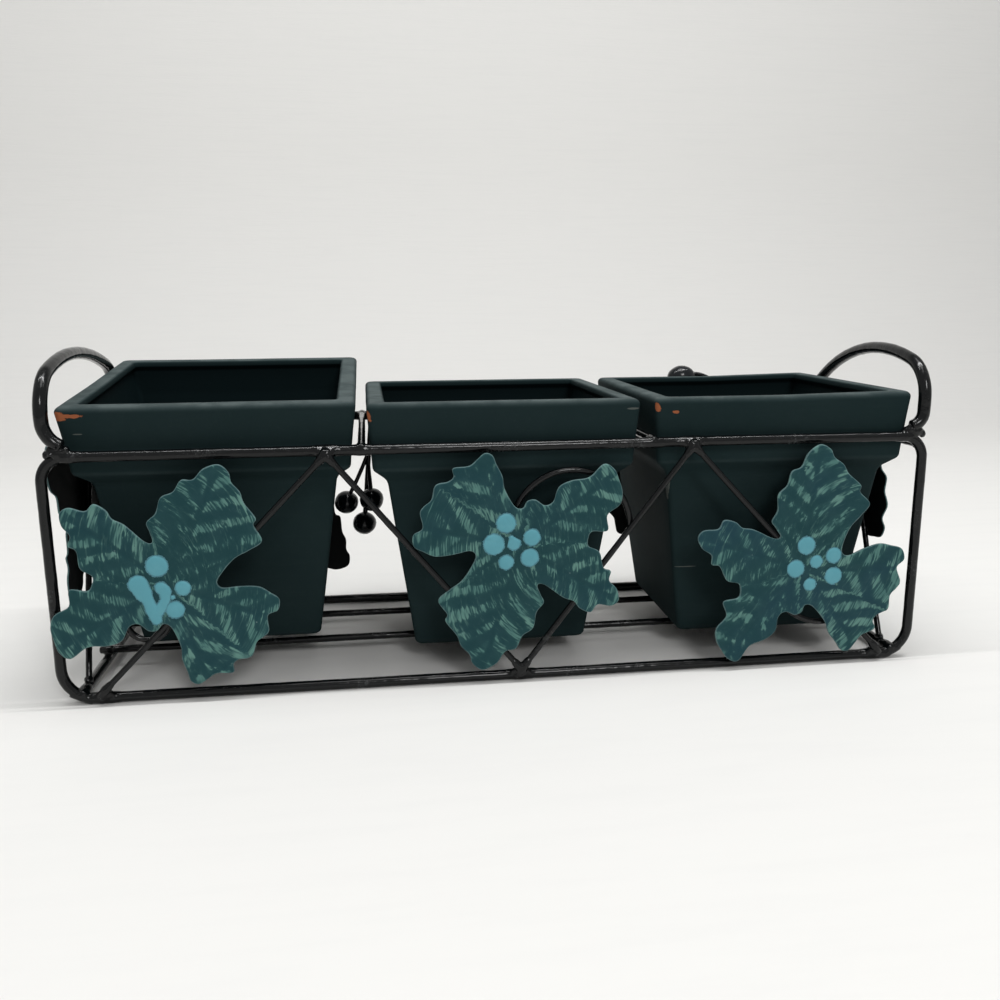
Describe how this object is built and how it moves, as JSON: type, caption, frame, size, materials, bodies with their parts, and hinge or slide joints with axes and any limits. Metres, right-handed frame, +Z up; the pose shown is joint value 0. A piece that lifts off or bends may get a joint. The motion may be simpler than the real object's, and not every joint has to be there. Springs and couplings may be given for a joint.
{
  "type": "three-pot planter rack",
  "caption": "Black wire planter rack with end handles, stamped teal leaves and berry balls, holding square dark green clay pots that lift out.",
  "frame": {"origin": "middle of the rack on the surface that it stands on", "axes": "+X along the rack to the right seen from the front, +Y to the back, +Z up"},
  "size_m": [0.344, 0.1253, 0.1299],
  "materials": {
    "black_paint": "gloss",
    "leaf_paint": "satin",
    "pot_paint": "matte"
  },
  "bodies": {
    "rack": {"front_hoop": "black_paint", "back_hoop": "black_paint", "left_handle": "black_paint", "right_handle": "black_paint", "left_base_crossbar": "black_paint", "right_base_crossbar": "black_paint", "left_top_crossbar": "black_paint", "right_top_crossbar": "black_paint", "front_slat": "black_paint", "back_slat": "black_paint", "left_divider": "black_paint", "right_divider": "black_paint", "front_zigzag": "black_paint", "left_end_zigzag": "black_paint", "right_end_zigzag": "black_paint", "front_left_tendril": "black_paint", "front_middle_tendril": "black_paint", "front_right_tendril": "black_paint", "front_left_leaf": "leaf_paint", "front_middle_leaf": "leaf_paint", "front_right_leaf": "leaf_paint", "back_left_leaf": "leaf_paint", "back_right_leaf": "leaf_paint", "left_end_leaf": "leaf_paint", "right_end_leaf": "leaf_paint", "hanging_berry_stems": "black_paint", "hanging_berries": "black_paint", "upright_berry_stem": "black_paint", "upright_berry": "black_paint", "front_weld_beads": "black_paint", "handle_weld_beads": "black_paint", "divider_weld_beads": "black_paint", "crossbar_weld_beads": "black_paint"},
    "left_pot_body": {"left_pot": "pot_paint"},
    "middle_pot_body": {"middle_pot": "pot_paint"},
    "right_pot_body": {"right_pot": "pot_paint"}
  },
  "joints": [
    {"name": "left_pot_lift", "type": "slide", "parent": "rack", "child": "left_pot_body", "axis": [0, 0, 1], "range_m": [0, 0.11]},
    {"name": "middle_pot_lift", "type": "slide", "parent": "rack", "child": "middle_pot_body", "axis": [0, 0, 1], "range_m": [0, 0.11]},
    {"name": "right_pot_lift", "type": "slide", "parent": "rack", "child": "right_pot_body", "axis": [0, 0, 1], "range_m": [0, 0.11]}
  ]
}
